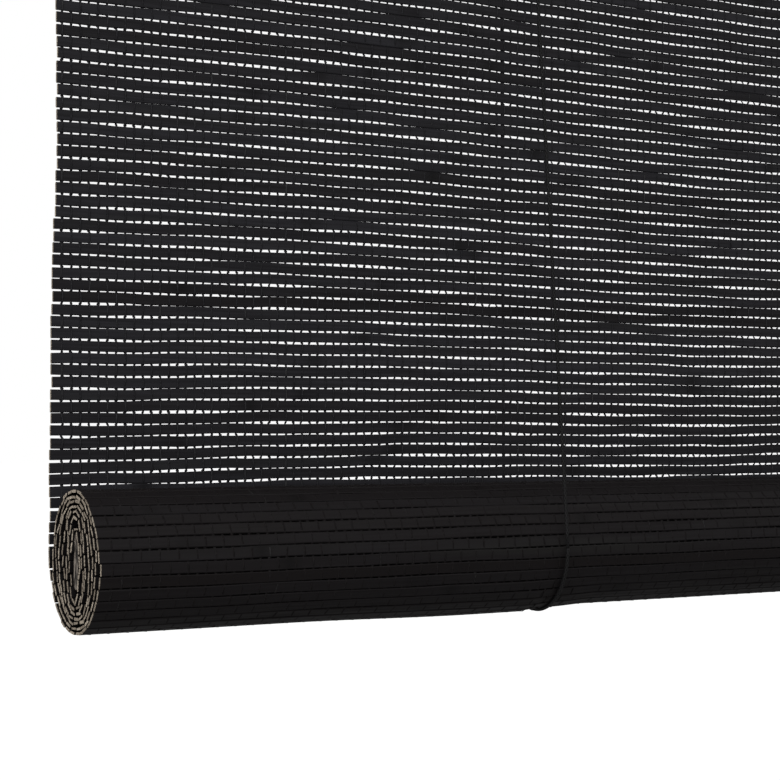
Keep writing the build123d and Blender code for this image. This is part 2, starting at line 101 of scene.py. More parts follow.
# Waves along a slat, as lengths and weights: up and down, and in and out
STRAY_LENGTHS, STRAY_WEIGHTS = (0.083, 0.127, 0.211, 0.047, 0.027), (0.6, 0.55, 0.45, 0.34, 0.24)
BOW_LENGTHS, BOW_WEIGHTS = (0.14, 0.31), (0.06, 0.08)
SLAT_CORNER = 0.35 * MM
CUT_EDGE = 0.16 * MM
CUT_TAPER = 0.93
JOINT_SPACING = (0.26, 0.42)
WAVE_CREST_X = -0.33
THREAD_STRAY = 0.16 * MM
DIAMOND_SIDE, DIAMOND_OUT = np.array([1, 0, -1, 0]), np.array([0, 1, 0, -1])

# The pull's outline, up its outside and down its bore: share of its height, and radius in millimetres
PULL_OUTLINE = (
    (0.0, 2.1), (0.0, 4.0), (0.04, 4.8), (0.12, 6.0), (0.28, 6.95), (0.5, 6.3), (0.72, 4.9), (0.84, 3.9),
    (0.88, 3.45), (0.9, 3.1), (0.93, 3.5), (0.97, 3.6), (1.0, 3.3), (1.0, 2.1), (0.6, 2.1), (0.0, 2.1),
)

# How many times a pattern of fibres repeats in a metre along X, Y and Z
SLAT_GRAIN = (26.0, 900.0, 900.0)
CUT_GRAIN = (26.0, 1500.0, 1500.0)
THREAD_TWIST = (2200.0, 2200.0, 700.0)
COIL_MOTTLE = (1300.0,) * 3
HEADRAIL_GRAIN = (9.0, 420.0, 420.0)
PULL_GRAIN = (900.0, 900.0, 60.0)
LATH_GRAIN = (9.0, 620.0, 170.0)
METAL_SCRATCHES = (160.0, 900.0, 2400.0)

# Colours from dark to light, or plain, of what isn't in the settings
WORN_STAIN = (0.020, 0.020, 0.018)
RING_STAIN = (0.003, 0.0026, 0.0026)
HEADRAIL_STAIN = (0.012, 0.009, 0.0075), (0.045, 0.034, 0.026)
PULL_STAIN = (0.022, 0.014, 0.010), (0.06, 0.042, 0.03)
LATH_STAIN = (0.010, 0.008, 0.007), (0.034, 0.027, 0.022)
SAWN_WOOD = (0.012, 0.010, 0.009), (0.30, 0.26, 0.22)
SAWN_DEPTH = 1.6 * MM

# For each slot: the material's name, its colour, its scratches' colour, its roughness, and 1 for metal
HARD_FINISHES = {
    "screw_steel": ("zinc_steel", (0.46, 0.46, 0.47), (0.62, 0.62, 0.62), 0.32, 1.0),
    "black_steel": ("black_enamel", (0.018, 0.018, 0.019), (0.05, 0.05, 0.05), 0.38, 0.0),
    "wheel_plastic": ("moulded_plastic", (0.028, 0.025, 0.023), (0.05, 0.046, 0.043), 0.5, 0.0),
}

CAMERA_PLACE = (-0.7782, -0.8008, -0.4436)
CAMERA_TURN = -30.1
CAMERA_SHIFT = (0.002, 0.0474)
SENSOR_WIDTH = 36.0
FLOOR_Z = -1.3
FLOOR_EDGE = 40.0
FLOOR_GREY = 0.36
FLOOR_GLOW = 0.88


def number(name, description, value, **more):
    """A number that a user may change."""
    return bpy.props.FloatProperty(name=name, description=description, default=value, **more)


def size(name, description, value):
    """A length that a user may change."""
    return number(name, description, value, unit="LENGTH", precision=5)


def colour(name, description, value):
    """A colour that a user may change."""
    return bpy.props.FloatVectorProperty(
        name=name, description=description, default=value, subtype="COLOR", size=3, min=0.0, max=1.0
    )


class BlindMatSettings(bpy.types.PropertyGroup):
    """Sizes and colours of the woven mat"""

    slat_pitch: size("Slat pitch", "From one slat to the next along the mat", 5.5 * MM)
    slat_height: size("Slat height", "Height of one slat", 4.79 * MM)
    slat_thickness: size("Slat thickness", "Thickness of one slat", 1.2 * MM)
    slat_wander: size("Slat wander", "How far a slat strays up or down along its length", 0.37 * MM)
    end_wander: size("End wander", "How much shorter the shortest slat end is", 1.2 * MM)
    knuckle_swell: size("Knuckle swell", "How much higher a slat is at a knuckle", 0.3 * MM)
    knuckle_reach: size("Knuckle reach", "How far a knuckle's swelling reaches along the slat", 10 * MM)
    wave_height: size("Wave height", "How far the slow waves go up and down", 0.8 * MM)
    wave_length: size("Wave length", "From one crest of the slow waves to the next", 400 * MM)
    thread_pitch: size("Thread pitch", "From one warp thread to the next", 4.35 * MM)
    first_thread: size("First thread", "From the mat's side to the first warp thread", 6.3 * MM)
    thread_width: size("Thread width", "Width of a warp thread", 1.55 * MM)
    thread_depth: size("Thread depth", "Thickness of a warp thread", 0.32 * MM)
    stain_dark: colour("Dark stain", "Darkest colour of the slats", (0.0108, 0.0103, 0.0122))
    stain_light: colour("Light stain", "Lightest colour of the slats", (0.0300, 0.0294, 0.0345))
    # The brown stain is the own browner tone of some hanging slats, and on the roll it is also painted shade:
    # a darker, warmer tone in place of the light the roll gets.
    brown_stain_and_shade: colour("Brown stain", "Colour of the browner slats", (0.0083, 0.0063, 0.0064))
    cut_bamboo: colour("Cut bamboo", "Bare bamboo at the cut slat ends", (0.70, 0.61, 0.49))
    cut_pith: colour("Cut pith", "Darker fibres at the cut slat ends", (0.10, 0.075, 0.052))
    thread: colour("Warp thread", "Colour of the warp threads", (0.0220, 0.0215, 0.0240))
    # The wound thread colour is painted shade: the same warp threads as on the hanging mat, in a darker,
    # browner copy of their colour for the roll.
    shaded_wound_thread: colour("Wound thread", "Colour of the threads round the roll", (0.0105, 0.0088, 0.0090))
    thread_dust: colour("Thread dust", "Colour of the dusty stretches of thread", (0.055, 0.055, 0.056))


class BlindRollSettings(bpy.types.PropertyGroup):
    """Sizes of the wound part of the mat"""

    outer_radius: size("Outer radius", "Radius of the outer turn's middle", 31.1 * MM)
    pitch_deep: size("Depth spacing", "Spacing of the turns at the roll's back and front", 4.3 * MM)
    pitch_high: size("Height spacing", "Spacing of the turns at the roll's top and bottom", 2.2 * MM)
    turns: number("Turns", "Turns of mat in the roll", 7.05)
    looseness: size("Looseness", "How far the inner turns stray at the roll's front and back", 1.5 * MM)
    core_depth: size("Core depth", "Least half depth of a turn, which leaves room for the lath", 4.6 * MM)
    end_curl: size("End curl", "How far the mat's free end curls in over the lath", 8 * MM)
    slat_tilt: size("Slat tilt", "How far the edges of an inner slat stand out of its turn", 0.5 * MM)
    slat_stray: size("Slat stray", "How far an inner slat stands off its turn", 0.2 * MM)
    sag_left: size("Sag left", "How much lower the roll hangs just left of the left cord", 1.2 * MM)
    waist_right: size("Waist right", "How much higher the roll is to the right of the left cord", 0.9 * MM)
    top_taper: number("Top taper", "Share of its depth that the roll's front loses towards its top", 0.045)


class BlindCordSettings(bpy.types.PropertyGroup):
    """Sizes and colours of the cords"""

    diameter: size("Cord diameter", "Diameter of the lift cords", 1.7 * MM)
    coil_inner: size("Coil inner turn", "Radius of the coil's innermost turns", 8.0 * MM)
    coil_step: size("Coil step", "Spacing of the coil's turns", 1.8 * MM)
    sling_drop: size("Sling drop", "How far the slings hang below the roll's axis", 32.6 * MM)
    braid: colour("Braid", "Colour of the cord's strands", (0.0125, 0.0120, 0.0128))
    # The braid gap colour is painted shade: the grooves between the cord's strands are coloured dark.
    braid_gap_shade: colour("Braid gap", "Colour between the cord's strands", (0.0025, 0.0022, 0.0022))


class BlindStageSettings(bpy.types.PropertyGroup):
    """Camera and lamps"""

    lens: number("Lens", "Focal length on a 36 mm sensor", 84.0, unit="CAMERA")
    sky: number("Sky", "Strength of the plain light all round", 0.5)
    key: number("Key", "Power of the large lamp in front", 17.0, unit="POWER")
    side: number("Side", "Power of the lamp at the left end", 9.0, unit="POWER")


def make_mesh_object(name, points, quads, caps=None, smooth=False):
    """A mesh object from whole arrays: points, four-sided faces and many-sided end caps."""
    mesh = bpy.data.meshes.new(name)
    loops = [quads.ravel()]
    sizes = [np.full(len(quads), 4)]
    if caps is not None:
        loops.append(caps.ravel())
        sizes.append(np.full(len(caps), caps.shape[1]))
    loops, sizes = np.concatenate(loops), np.concatenate(sizes)
    mesh.vertices.add(len(points))
    mesh.vertices.foreach_set("co", np.asarray(points, np.float32).ravel())
    mesh.loops.add(len(loops))
    mesh.loops.foreach_set("vertex_index", loops.astype(np.int32))
    mesh.polygons.add(len(sizes))
    mesh.polygons.foreach_set("loop_start", np.concatenate([[0], np.cumsum(sizes)[:-1]]).astype(np.int32))
    mesh.polygons.foreach_set("use_smooth", np.full(len(sizes), smooth))
    mesh.update(calc_edges=True)
    mesh.validate()
    made = bpy.data.objects.new(name, mesh)
    bpy.context.scene.collection.objects.link(made)
    return made


def strips(name, rings, smooth=False, closed=False):
    """Strips of rings: point s of ring r of strip t is rings[t, r, s], and faces join each ring to the next.

    An open strip is capped at both ends. The rings run counter-clockwise about the strip's direction, so the
    faces point outwards.
    """
    count, length, around = rings.shape[:3]
    index = np.arange(count * length * around).reshape(count, length, around)
    here = index if closed else index[:, :-1]
    there = np.roll(index, -1, axis=1) if closed else index[:, 1:]
    quads = np.stack([here, np.roll(here, -1, 2), np.roll(there, -1, 2), there], -1).reshape(-1, 4)
    caps = None if closed else np.concatenate([index[:, 0, ::-1], index[:, -1]])
    return make_mesh_object(name, rings.reshape(-1, 3), quads, caps, smooth)


def points_of(x, y, z):
    """Points from their three coordinates, which are spread over each other's shapes."""
    return np.stack(np.broadcast_arrays(x, y, z), -1)


def add_values(made, name, values):
    """Stores one number for each point, which a material reads by its name."""
    attribute = made.data.attributes.new(name, "FLOAT", "POINT")
    attribute.data.foreach_set("value", np.asarray(values, np.float32).ravel())


def tube(name, path, radius, reference, around=12, closed=False):
    """A round tube: at each point of the path a circle of the radius, in the plane across the path.

    reference is a direction that stays across the whole path. The tube stores the length along it, and the
    place round it as a cosine and a sine.
    """
    if closed:
        along = np.roll(path, -1, 0) - np.roll(path, 1, 0)
    else:
        along = np.gradient(path, axis=0)
    along /= np.linalg.norm(along, axis=1, keepdims=True)
    side = reference - along * (along @ reference)[:, None]
    side /= np.linalg.norm(side, axis=1, keepdims=True)
    other = np.cross(along, side)
    turn = np.arange(around) * 2 * np.pi / around
    cosine, sine = np.cos(turn), np.sin(turn)
    rings = path[:, None] + radius * (cosine[:, None] * side[:, None] + sine[:, None] * other[:, None])
    made = strips(name, rings[None], smooth=True, closed=closed)
    steps = np.linalg.norm(np.diff(path, axis=0), axis=1)
    metres = np.concatenate([[0], np.cumsum(steps)])
    add_values(made, "cord_length", np.repeat(metres, around))
    add_values(made, "cord_side_x", np.tile(cosine, len(path)))
    add_values(made, "cord_side_y", np.tile(sine, len(path)))
    return made


def wander(count, x, rng, lengths, weights):
    """Smooth wandering along x: a sum of sine waves of the given lengths, with other phases on each slat."""
    phase = rng.uniform(0, 2 * np.pi, (count, len(lengths)))
    waves = np.sin(2 * np.pi * x[..., None] / np.asarray(lengths) + phase[:, None])
    return waves @ np.asarray(weights)


def slat_section(height, thickness):
    """Eight points round a slat: a flat rectangle with its corners taken off, counter-clockwise about X."""
    high, deep = height / 2, thickness / 2
    low_corner, side_corner = high - SLAT_CORNER, deep * 0.45
    across = np.array([deep, deep, side_corner, -side_corner, -deep, -deep, -side_corner, side_corner])
    up = np.array([-low_corner, low_corner, high, high, low_corner, -low_corner, -high, -high])
    return across, up


def smooth_step(value):
    """0 below 0, 1 above 1, and a smooth S between."""
    share = np.clip(value, 0, 1)
    return share * share * (3 - 2 * share)


def slat_grid(count, samples, seed, mat):
    """X of every ring of every slat, with its stray up and down, its bow, tone, height and knuckles.

    The first and last rings are the cut ends. A knuckle is a bell curve round each joint of the bamboo, and a
    slat's joints are evenly spaced.
    """
    rng = np.random.default_rng(seed)
    left = -HALF_WIDTH + mat.end_wander * rng.beta(1.3, 2.2, count)
    right = HALF_WIDTH - mat.end_wander * rng.beta(1.3, 2.2, count)
    inner = left[:, None] + CUT_EDGE + (right - left - 2 * CUT_EDGE)[:, None] * np.linspace(0, 1, samples)
    x = np.concatenate([left[:, None], inner, right[:, None]], 1)
    stray = np.tanh(wander(count, x, rng, STRAY_LENGTHS, STRAY_WEIGHTS) * 1.1) * mat.slat_wander
    bow = wander(count, x, rng, BOW_LENGTHS, BOW_WEIGHTS) * MM
    tone = rng.beta(2, 2.4, count)
    spacing = rng.uniform(*JOINT_SPACING, count)[:, None]
    first = rng.uniform(0, 1, count)[:, None] * spacing
    from_joint = np.mod(x + first, spacing) - spacing / 2
    knuckle = np.exp(-((from_joint / mat.knuckle_reach) ** 2))
    uneven = rng.uniform(-0.1, 0.1, count)[:, None] * MM
    return x, stray, bow, tone, mat.slat_height + uneven + knuckle * mat.knuckle_swell, knuckle


def finish_slats(made, x, tone, knuckle, brown, around):
    """Marks each slat's cut ends, its knuckles, its tone and its share of brown for the material. On the roll
    that brown share is mostly painted shade.
    """
    cut = np.zeros(x.shape)
    cut[:, 0] = cut[:, -1] = 1
    values = {"cut_end": cut, "knuckle": knuckle, "slat_tone": tone[:, None], "brown_and_shade_share": brown[:, None]}
    for name, value in values.items():
        add_values(made, name, np.repeat(np.broadcast_to(value, x.shape), around))


def mat_wave(x, z, mat):
    """How far slow waves lift the hanging mat: a cosine along X, which dies out towards headrail and roll."""
    below_headrail = smooth_step((-0.06 - z) / 0.15)
    above_roll = smooth_step((z - ROLL_Z) / 0.04)
    wave = np.cos(2 * np.pi * (x - WAVE_CREST_X) / mat.wave_length)
    return below_headrail * above_roll * mat.wave_height * wave


def side_drift(z):
    """How far a slat is pushed to the right: most in the hanging mat's middle, nothing at its ends."""
    heights = (-0.50, -0.41, -0.378, -0.345, -0.313, -0.20, -0.04)
    pushed = (0.0, 0.7, 1.4, 2.3, 3.7, 2.6, 0.0)
    return np.interp(z, heights, pushed) * MM


def spiral_table(roll):
    """The wound mat's travelled length, middle and outward direction at close angles.

    It is an oval that loses depth and height evenly with the angle. Inwards it gets blunter, as its cosine is
    raised to a power below 1, and strays in depth by slow sine waves. Its inner end loses more height, so it
    curls in over the lath. The roll's front is less deep towards its top.
    """
    angle = np.linspace(-0.2, 2 * np.pi * roll.turns + 0.2, 20001)
    wound = angle / (2 * np.pi)
    deep = np.maximum(roll.outer_radius + roll.pitch_deep * (0.25 - wound), roll.core_depth)
    high = roll.outer_radius + roll.pitch_high * (0.5 - wound)
    high = high - roll.end_curl * np.clip(wound - roll.turns + 0.65, 0, 1)
    blunt = 1 - 0.3 * np.clip((wound - 1) / 4, 0, 1)
    across = np.sign(np.cos(angle)) * np.abs(np.cos(angle)) ** blunt
    loose = roll.looseness * np.clip(wound - 0.9, 0, 1) * across**2
    waves = ((0.5, 1.7, 1.0), (0.3, 2.9, 2.6), (0.2, 7.3, 0.0))
    deep = deep + loose * sum(weight * np.sin(rate * angle + start) for weight, rate, start in waves)
    y = deep * across - roll.pitch_deep / 4
    z = roll.pitch_high / 4 - high * np.sin(angle)
    taper = roll.top_taper * smooth_step((z + 15 * MM) / (45 * MM))
    y = ROLL_Y + np.where(y < 0, y * (1 - taper), y)
    z = ROLL_Z + z
    along = np.stack([np.gradient(y), np.gradient(z)], 1)
    along /= np.linalg.norm(along, axis=1)[:, None]
    length = np.concatenate([[0], np.cumsum(np.hypot(np.diff(y), np.diff(z)))])
    length -= np.interp(0, angle, length)
    return length, y, z, -along[:, 1], along[:, 0]


def roll_sag(x, z, roll):
    """How far the roll's underside stands out: a bulge up to the left cord, and a waist right of it."""
    front_x, back_x = STATIONS["left"][:2]
    bulge = smooth_step((front_x + 1.5 * MM - x) / (4 * MM)) * smooth_step((x + 0.40) / 0.10)
    waist = smooth_step((x - back_x - 2 * MM) / (12 * MM)) * smooth_step((0.20 - x) / 0.25)
    under = smooth_step((ROLL_Z - z) / (30 * MM))
    return under * (roll.sag_left * bulge - roll.waist_right * waist)


def on_spiral(table, travelled, outward):
    """Y and Z at a travelled length along the wound mat and a distance outside its middle."""
    length, y, z, out_y, out_z = table
    travelled = np.broadcast_to(travelled, np.broadcast_shapes(np.shape(travelled), np.shape(outward)))
    return (
        np.interp(travelled, length, y) + outward * np.interp(travelled, length, out_y),
        np.interp(travelled, length, z) + outward * np.interp(travelled, length, out_z),
    )


def thread_places(mat):
    """X of every warp thread, evenly spread between the first and the last."""
    span = 2 * (HALF_WIDTH - mat.first_thread)
    count = int(round(span / mat.thread_pitch)) + 1
    return np.linspace(-span / 2, span / 2, count)


def weave_profile(slats, mat, sunk):
    """A warp thread's places: how far along the mat, and how far out of its middle.

    The thread crosses the mat's middle in each gap, and lies on one face of a slat and on the other face of
    the next. It is pressed into the slat by the sunk length.
    """
    middle = (np.arange(slats) + 0.5) * mat.slat_pitch
    offsets = np.array([-0.5 * mat.slat_pitch, -0.36 * mat.slat_height, 0.36 * mat.slat_height])
    along = (middle[:, None] + offsets).ravel()
    lie = mat.slat_thickness / 2 + mat.thread_depth / 2 - sunk
    face = np.tile(np.array([0.0, 1.0, 1.0]) * lie, slats)
    sign = np.repeat(np.where(np.arange(slats) % 2, -1.0, 1.0), 3)
    return np.append(along, slats * mat.slat_pitch), np.append(face * sign, 0.0)


def thread_widths(shape, mat, rng):
    """Width of each thread at each ring: narrow on the slats, wide and uneven where its strands cross."""
    width = mat.thread_width * rng.uniform(0.42, 0.6, shape)
    width[:, ::3] = mat.thread_width * rng.uniform(0.75, 1.25, width[:, ::3].shape)
    return width


def thread_dust(shape, rng):
    """How dusty each thread is at each ring: little for most, more for a few threads and a few slats."""
    whole = rng.beta(0.7, 3.0, (shape[0], 1))
    here = rng.beta(0.8, 2.0, (1 + shape[1] // 3, shape[0])).T.repeat(3, 1)[:, : shape[1]]
    return np.clip(0.15 * whole + 1.6 * whole * here, 0, 1)


def math_node(tree, operation, *values):
    """A Math node whose inputs are sockets or numbers."""
    node = tree.nodes.new("ShaderNodeMath")
    node.operation = operation
    for socket, value in zip(node.inputs, values):
        if isinstance(value, (int, float)):
            socket.default_value = value
        else:
            tree.links.new(value, socket)
    return node.outputs[0]


def fibre_group():
    """Fibre streaks and slow blotches: noise whose places are stretched, and shifted from slat to slat."""
    if "fibre_streaks" in bpy.data.node_groups:
        return bpy.data.node_groups["fibre_streaks"]
    group = bpy.data.node_groups.new("fibre_streaks", "ShaderNodeTree")
    for label, way, kind in (
        ("Place", "INPUT", "Vector"),
        ("Stretch", "INPUT", "Vector"),
        ("Shift", "INPUT", "Float"),
        ("Streaks", "OUTPUT", "Float"),
        ("Blotches", "OUTPUT", "Float"),
    ):
        group.interface.new_socket(label, in_out=way, socket_type=f"NodeSocket{kind}")
    given, out = group.nodes.new("NodeGroupInput"), group.nodes.new("NodeGroupOutput")
    links = group.links
    place = given.outputs["Place"]
    shift = math_node(group, "MULTIPLY", given.outputs["Shift"], 37.0)
    for operation, other in (("MULTIPLY", given.outputs["Stretch"]), ("ADD", shift)):
        node = group.nodes.new("ShaderNodeVectorMath")
        node.operation = operation
        links.new(place, node.inputs[0])
        links.new(other, node.inputs[1])
        place = node.outputs[0]
    for label, scale, detail in (("Streaks", 1.0, 5.0), ("Blotches", 0.13, 2.0)):
        noise = group.nodes.new("ShaderNodeTexNoise")
        noise.inputs["Scale"].default_value = scale
        noise.inputs["Detail"].default_value = detail
        links.new(place, noise.inputs["Vector"])
        links.new(noise.outputs["Fac"], out.inputs[label])
    return group


def new_material(name, roughness, metallic=0.0, specular=0.5, coat=0.0):
    """A material with its one shader, whose constants are set on the shader's own sockets."""
    material = bpy.data.materials.new(name)
    material.use_nodes = True
    shader = material.node_tree.nodes["Principled BSDF"]
    labels = ("Roughness", "Metallic", "Specular IOR Level", "Coat Weight")
    for label, value in zip(labels, (roughness, metallic, specular, coat)):
        shader.inputs[label].default_value = value
    return material, material.node_tree, shader


def place_in_piece(tree):
    """The point's place in the piece's own frame."""
    return tree.nodes.new("ShaderNodeTexCoord").outputs["Object"]


def value_of(tree, name):
    """A number that the mesh stores at each point."""
    node = tree.nodes.new("ShaderNodeAttribute")
    node.attribute_name = name
    return node.outputs["Fac"]


def mix_colours(tree, share, first, second):
    """A colour between two colours, by a share of 0 to 1. A colour may be a socket or three numbers."""
    node = tree.nodes.new("ShaderNodeMix")
    node.data_type = "RGBA"
    tree.links.new(share, node.inputs["Factor"])
    for socket, value in ((node.inputs[6], first), (node.inputs[7], second)):
        if isinstance(value, bpy.types.NodeSocket):
            tree.links.new(value, socket)
        else:
            socket.default_value = (*value, 1.0)
    return node.outputs[2]


def spread(tree, share, low, high, to_low=0.0, to_high=1.0):
    """Maps a share from one range to another, and clamps it."""
    node = tree.nodes.new("ShaderNodeMapRange")
    tree.links.new(share, node.inputs["Value"])
    for label, value in (("From Min", low), ("From Max", high), ("To Min", to_low), ("To Max", to_high)):
        node.inputs[label].default_value = value
    return node.outputs["Result"]


def surface(tree, shader, base, height, distance, strength=1.0, roughness=None):
    """Gives a shader its colour, relief from a height, and its roughness where that varies."""
    node = tree.nodes.new("ShaderNodeBump")
    node.inputs["Distance"].default_value = distance
    node.inputs["Strength"].default_value = strength
    tree.links.new(height, node.inputs["Height"])
    tree.links.new(node.outputs["Normal"], shader.inputs["Normal"])
    tree.links.new(base, shader.inputs["Base Color"])
    if roughness is not None:
        tree.links.new(roughness, shader.inputs["Roughness"])


def fibres(tree, stretch, shift=None):
    """The fibre group in a material, with its own stretch. Gives its streaks and its blotches."""
    node = tree.nodes.new("ShaderNodeGroup")
    node.node_tree = fibre_group()
    tree.links.new(place_in_piece(tree), node.inputs["Place"])
    node.inputs["Stretch"].default_value = stretch
    if shift is not None:
        tree.links.new(shift, node.inputs["Shift"])
    return node.outputs["Streaks"], node.outputs["Blotches"]


def slat_material(mat):
    """Stained bamboo: dark slats of slightly different tones, with fibre streaks and bare cut ends. Its brown
    stain is also painted shade on the roll.
    """
    if "stained_bamboo" in bpy.data.materials:
        return bpy.data.materials["stained_bamboo"]
    material, tree, shader = new_material("stained_bamboo", 0.55, specular=0.15)
    tone = value_of(tree, "slat_tone")
    streaks, blotches = fibres(tree, SLAT_GRAIN, tone)
    toned = math_node(tree, "MULTIPLY", tone, 0.5)
    share = math_node(tree, "ADD", toned, spread(tree, streaks, 0.35, 0.68, 0.0, 0.6))
    stain = mix_colours(tree, share, mat.stain_dark, mat.stain_light)
    # Browner slats: a random tone on the hanging mat, and painted shade on the roll, whose slats are nearly
    # all brown.
    stain = mix_colours(tree, value_of(tree, "brown_and_shade_share"), stain, mat.brown_stain_and_shade)
    worn = mix_colours(tree, spread(tree, blotches, 0.56, 0.76, 0.0, 0.4), stain, WORN_STAIN)
    ring = spread(tree, value_of(tree, "knuckle"), 0.55, 1.0, 0.0, 0.6)
    ringed = mix_colours(tree, ring, worn, RING_STAIN)
    fibre_ends = spread(tree, fibres(tree, CUT_GRAIN, tone)[0], 0.38, 0.58, 0.05, 1.0)
    bare = math_node(tree, "MULTIPLY", fibre_ends, spread(tree, tone, 0.2, 0.8, 0.45, 1.0))
    cut = mix_colours(tree, bare, mat.cut_pith, mat.cut_bamboo)
    whole = mix_colours(tree, value_of(tree, "cut_end"), ringed, cut)
    surface(tree, shader, whole, streaks, 0.12 * MM, 0.7, spread(tree, streaks, 0.3, 0.7, 0.66, 0.48))
    return material


def thread_material(name, mat, spun_colour):
    """Spun warp thread: dull, with fine twists along it, and dusty on some slats."""
    if name in bpy.data.materials:
        return bpy.data.materials[name]
    material, tree, shader = new_material(name, 0.85, specular=0.1)
    streaks = fibres(tree, THREAD_TWIST)[0]
    paler = tuple(min(1.0, c * 1.7) for c in spun_colour)
    darker = tuple(c * 0.6 for c in spun_colour)
    spun = mix_colours(tree, spread(tree, streaks, 0.35, 0.7), darker, paler)
    dust = value_of(tree, "thread_dust")
    dusty = math_node(tree, "MULTIPLY", dust, spread(tree, streaks, 0.4, 0.6, 0.3, 1.0))
    surface(tree, shader, mix_colours(tree, dusty, spun, mat.thread_dust), streaks, 0.1 * MM, 0.6)
    return material


def braid_height(tree, lay, strands):
    """Height of a braid: its strands wind round the cord in two opposite ways, and the higher one shows."""
    turn = math_node(tree, "ARCTAN2", value_of(tree, "cord_side_y"), value_of(tree, "cord_side_x"))
    turn = math_node(tree, "MULTIPLY", turn, strands)
    travel = math_node(tree, "DIVIDE", value_of(tree, "cord_length"), lay)
    travel = math_node(tree, "MULTIPLY", travel, 2 * math.pi)
    one = math_node(tree, "SINE", math_node(tree, "ADD", turn, travel))
    other = math_node(tree, "SINE", math_node(tree, "SUBTRACT", turn, travel))
    highest = math_node(tree, "MAXIMUM", one, other)
    return math_node(tree, "MULTIPLY", math_node(tree, "ADD", highest, 1.0), 0.5)


def cord_material(cords):
    """Braided cord: strands that cross round it, with painted shade dark between them."""
    if "braided_cord" in bpy.data.materials:
        return bpy.data.materials["braided_cord"]
    material, tree, shader = new_material("braided_cord", 0.7, specular=0.25)
    height = braid_height(tree, lay=2.4 * MM, strands=4.0)
    shade = mix_colours(tree, spread(tree, height, 0.35, 0.95), cords.braid_gap_shade, cords.braid)
    surface(tree, shader, shade, height, 0.15 * MM, roughness=spread(tree, height, 0.2, 1.0, 0.9, 0.6))
    return material


def coil_cord_material(cords):
    """Braided cord for the curve that has no stored values: a fine mottle at the braid's scale, between the
    strands' colour and the painted shade between them.
    """
    material, tree, shader = new_material("coiled_cord", 0.72, specular=0.25)
    streaks = fibres(tree, COIL_MOTTLE)[0]
    shade = mix_colours(tree, spread(tree, streaks, 0.38, 0.62), cords.braid_gap_shade, cords.braid)
    surface(tree, shader, shade, streaks, 0.2 * MM)
    return material


def wood_material(name, stain, grain):
    """Stained wood: grain streaks along the piece and slow blotches in the stain."""
    material, tree, shader = new_material(name, 0.42, specular=0.4, coat=0.12)
    streaks, blotches = fibres(tree, grain)
    grained = spread(tree, streaks, 0.32, 0.7)
    share = math_node(tree, "MULTIPLY", grained, spread(tree, blotches, 0.3, 0.7, 0.6, 1.0))
    shade = mix_colours(tree, share, *stain)
    surface(tree, shader, shade, streaks, 0.1 * MM, 0.5, spread(tree, streaks, 0.3, 0.7, 0.5, 0.34))
    return material


def lath_material():
    """Stained lath whose two sawn ends, found by their distance from the blind's middle, are barer wood."""
    material, tree, shader = new_material("lath_wood", 0.6, specular=0.2)
    streaks = fibres(tree, LATH_GRAIN)[0]
    split = tree.nodes.new("ShaderNodeSeparateXYZ")
    tree.links.new(place_in_piece(tree), split.inputs[0])
    from_middle = math_node(tree, "ABSOLUTE", split.outputs[0])
    sawn = math_node(tree, "GREATER_THAN", from_middle, HALF_WIDTH - SAWN_DEPTH)
    share = spread(tree, streaks, 0.42, 0.6)
    stained = mix_colours(tree, share, *LATH_STAIN)
    bare = mix_colours(tree, share, *SAWN_WOOD)
    surface(tree, shader, mix_colours(tree, sawn, stained, bare), streaks, 0.2 * MM, 0.7)
    return material


def scratched_material(name, base, scratched, roughness, metallic):
    """Metal, enamel or plastic with fine scratches that are lighter than its finish."""
    material, tree, shader = new_material(name, roughness, metallic=metallic)
    streaks, blotches = fibres(tree, METAL_SCRATCHES)
    shade = mix_colours(tree, spread(tree, streaks, 0.45, 0.75), base, scratched)
    dulled = spread(tree, blotches, 0.3, 0.7, roughness * 0.8, min(1.0, roughness * 1.3))
    surface(tree, shader, shade, streaks, 0.03 * MM, 0.4, dulled)
    return material


def dress_node(node, material):
    """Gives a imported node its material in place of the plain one."""
    made = frame["nodes"][node]
    made.data.materials.clear()
    made.data.materials.append(material)


def settle(made, body, material, slot, *nodes):
    """A finished piece: its material, the body it rides on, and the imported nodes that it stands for."""
    made.data.materials.append(material)
    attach(made, body)
    if nodes:
        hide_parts(*nodes)
    return made


def shorten(made):
    """Gives a piece that hangs from the anchor down to the roll its own copy of its mesh."""
    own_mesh(made)


class BLIND_OT_hanging_slats(bpy.types.Operator):
    """Build the slats of the hanging mat"""

    bl_idname = "blind.hanging_slats"
    bl_label = "Hanging Slats"

    def execute(self, context):
        """Each slat is its section carried along X, lifted by stray and waves, and pushed out by its bow."""
        mat = context.scene.blind_mat
        x, stray, bow, tone, height, knuckle = slat_grid(SLAT_COUNT, 112, 11, mat)
        across, up = slat_section(mat.slat_height, mat.slat_thickness)
        middle = (ROLL_Z + (np.arange(SLAT_COUNT) + 0.5) * mat.slat_pitch)[:, None]
        lifted = middle + stray + mat_wave(x, middle, mat)
        x = x + side_drift(middle)
        taper = np.ones(x.shape)
        taper[:, 0] = taper[:, -1] = CUT_TAPER
        high = up * (height / mat.slat_height * taper)[..., None]
        deep = across * taper[..., None]
        made = strips(
            "hanging_slats", points_of(x[..., None], MAT_Y + bow[..., None] + deep, lifted[..., None] + high)
        )
        brown = 0.8 * np.random.default_rng(13).beta(0.8, 2.2, SLAT_COUNT)
        finish_slats(made, x, tone, knuckle, brown, len(up))
        settle(made, "headrail", slat_material(mat), "black_bamboo", "hanging_mat")
        shorten(made)
        return {"FINISHED"}


